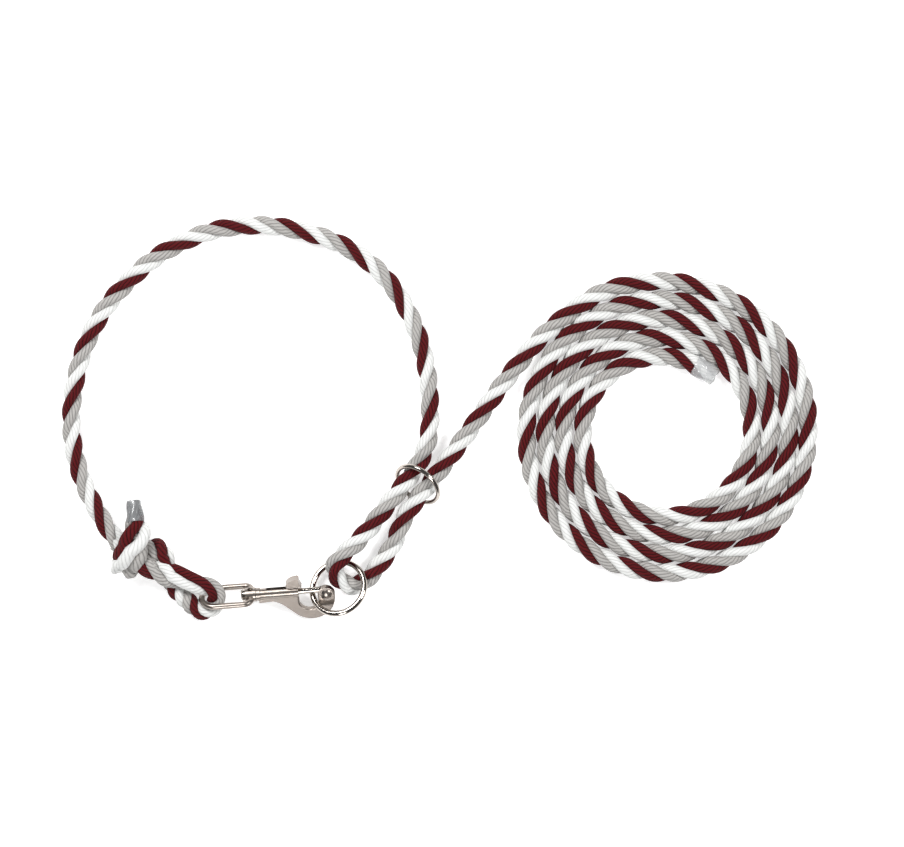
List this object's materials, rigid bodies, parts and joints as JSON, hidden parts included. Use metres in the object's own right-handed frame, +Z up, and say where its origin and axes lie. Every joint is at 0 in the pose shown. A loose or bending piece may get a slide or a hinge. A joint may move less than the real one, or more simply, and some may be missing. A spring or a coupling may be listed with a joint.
{
  "type": "adjustable neck lead rope",
  "caption": "Three-strand rope lead with a neck loop that clips back on itself: swivel bolt snap, tie ring and keeper ring, free end coiled flat.",
  "frame": {"origin": "on the surface that the lead lies on, under the middle of the metal fittings", "axes": "+X from the neck loop towards the coil, along the line of the fittings; +Z up, away from the surface"},
  "size_m": [0.4997, 0.2679, 0.0285],
  "materials": {
    "rope": "twisted three-strand rope: dark red, white and grey",
    "clear_sleeve": "clear heat-shrink sleeve",
    "cast_nickel": "nickel-plated zinc casting, satin",
    "polished_nickel": "nickel plate, polished",
    "spring_steel": "bright spring wire"
  },
  "bodies": {
    "root": {"rope_tail": "rope", "stopper_knot": "rope", "rope_snap_eye": "rope", "rope_neck_loop": "rope", "rope_ring_bight": "rope", "rope_lead": "rope", "rope_coil": "rope", "rope_end": "rope", "tail_sleeve": "clear_sleeve", "end_sleeve": "clear_sleeve", "swivel_eye": "cast_nickel"},
    "snap": {"snap_body": "cast_nickel", "swivel_rivet": "polished_nickel", "bolt_spring": "spring_steel"},
    "bolt": {"snap_bolt": "polished_nickel", "thumb_lug": "cast_nickel"},
    "tie_ring": {"tie_ring": "polished_nickel"},
    "keeper_ring": {"keeper_ring": "polished_nickel"}
  },
  "joints": [
    {"name": "snap_swivel", "type": "hinge", "parent": "root", "child": "snap", "pos_m": [-0.0469, -0.035, 0.011], "axis": [0.9954, 0.0783, 0.0558], "range_deg": [0, 25]},
    {"name": "bolt_slide", "type": "slide", "parent": "snap", "child": "bolt", "axis": [-0.9954, -0.0783, -0.0558], "range_m": [0, 0.014], "stiffness_N_per_m": 250, "springref_m": -0.012, "deforming": ["bolt_spring"]},
    {"name": "tie_ring_spin", "type": "hinge", "parent": "root", "child": "tie_ring", "pos_m": [0.0116, -0.0302, 0.0132], "axis": [-0.2874, 0.3574, 0.8886], "continuous": true},
    {"name": "keeper_slide", "type": "slide", "parent": "root", "child": "keeper_ring", "axis": [-0.6225, -0.7826, 0], "range_m": [0, 0.012]}
  ]
}
